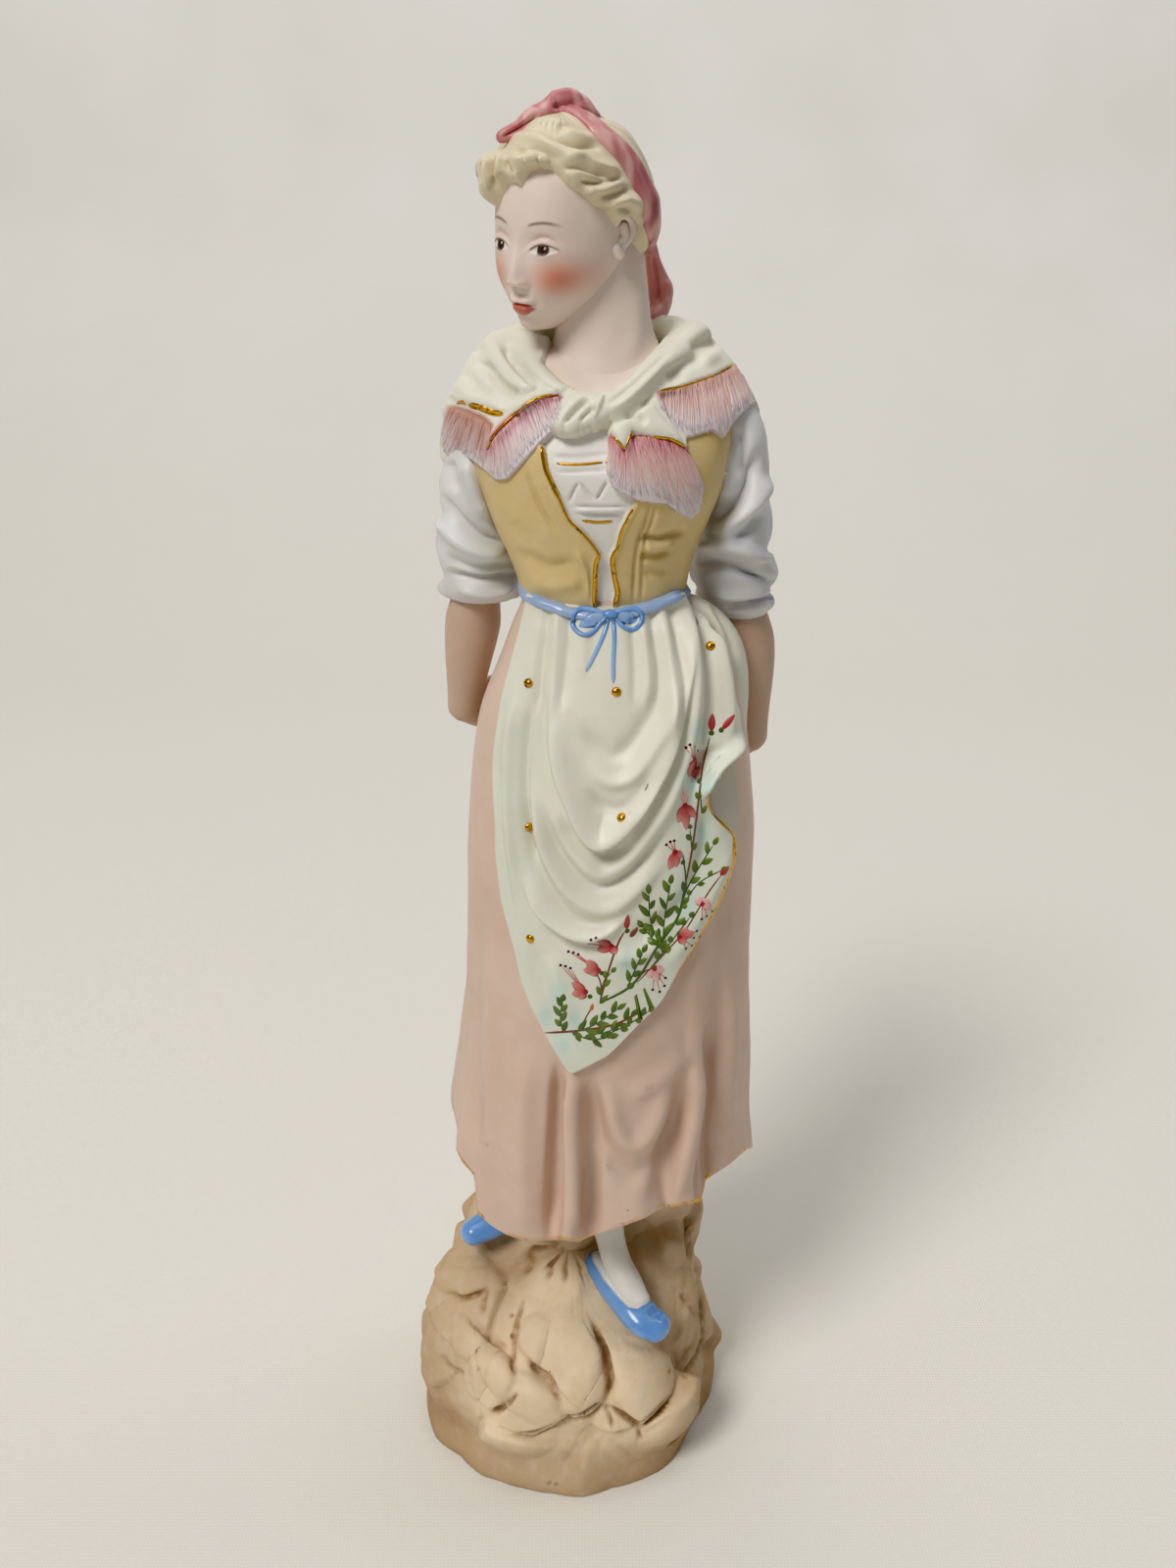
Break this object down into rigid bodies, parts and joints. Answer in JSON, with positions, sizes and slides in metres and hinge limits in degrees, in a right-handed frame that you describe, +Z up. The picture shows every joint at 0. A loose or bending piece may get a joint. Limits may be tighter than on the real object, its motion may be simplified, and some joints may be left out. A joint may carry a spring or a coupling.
{
  "type": "bisque lady figurine",
  "caption": "Standing lady in a shawl, bodice, gathered apron and long skirt on a boulder base, hands behind her back; painted bisque porcelain.",
  "frame": {"origin": "centre of the rock base's flat underside, on the surface that it stands on", "axes": "+Z up through the head; the figure looks towards -Y; +X is on the viewer's right"},
  "size_m": [0.1033, 0.0763, 0.3787],
  "materials": {
    "bisque": "unglazed bisque porcelain, smooth and matt, hand painted in soft fired enamels with gilt lines and dots"
  },
  "bodies": {
    "root": {"bisque_lady_figurine": "bisque"}
  },
  "joints": []
}
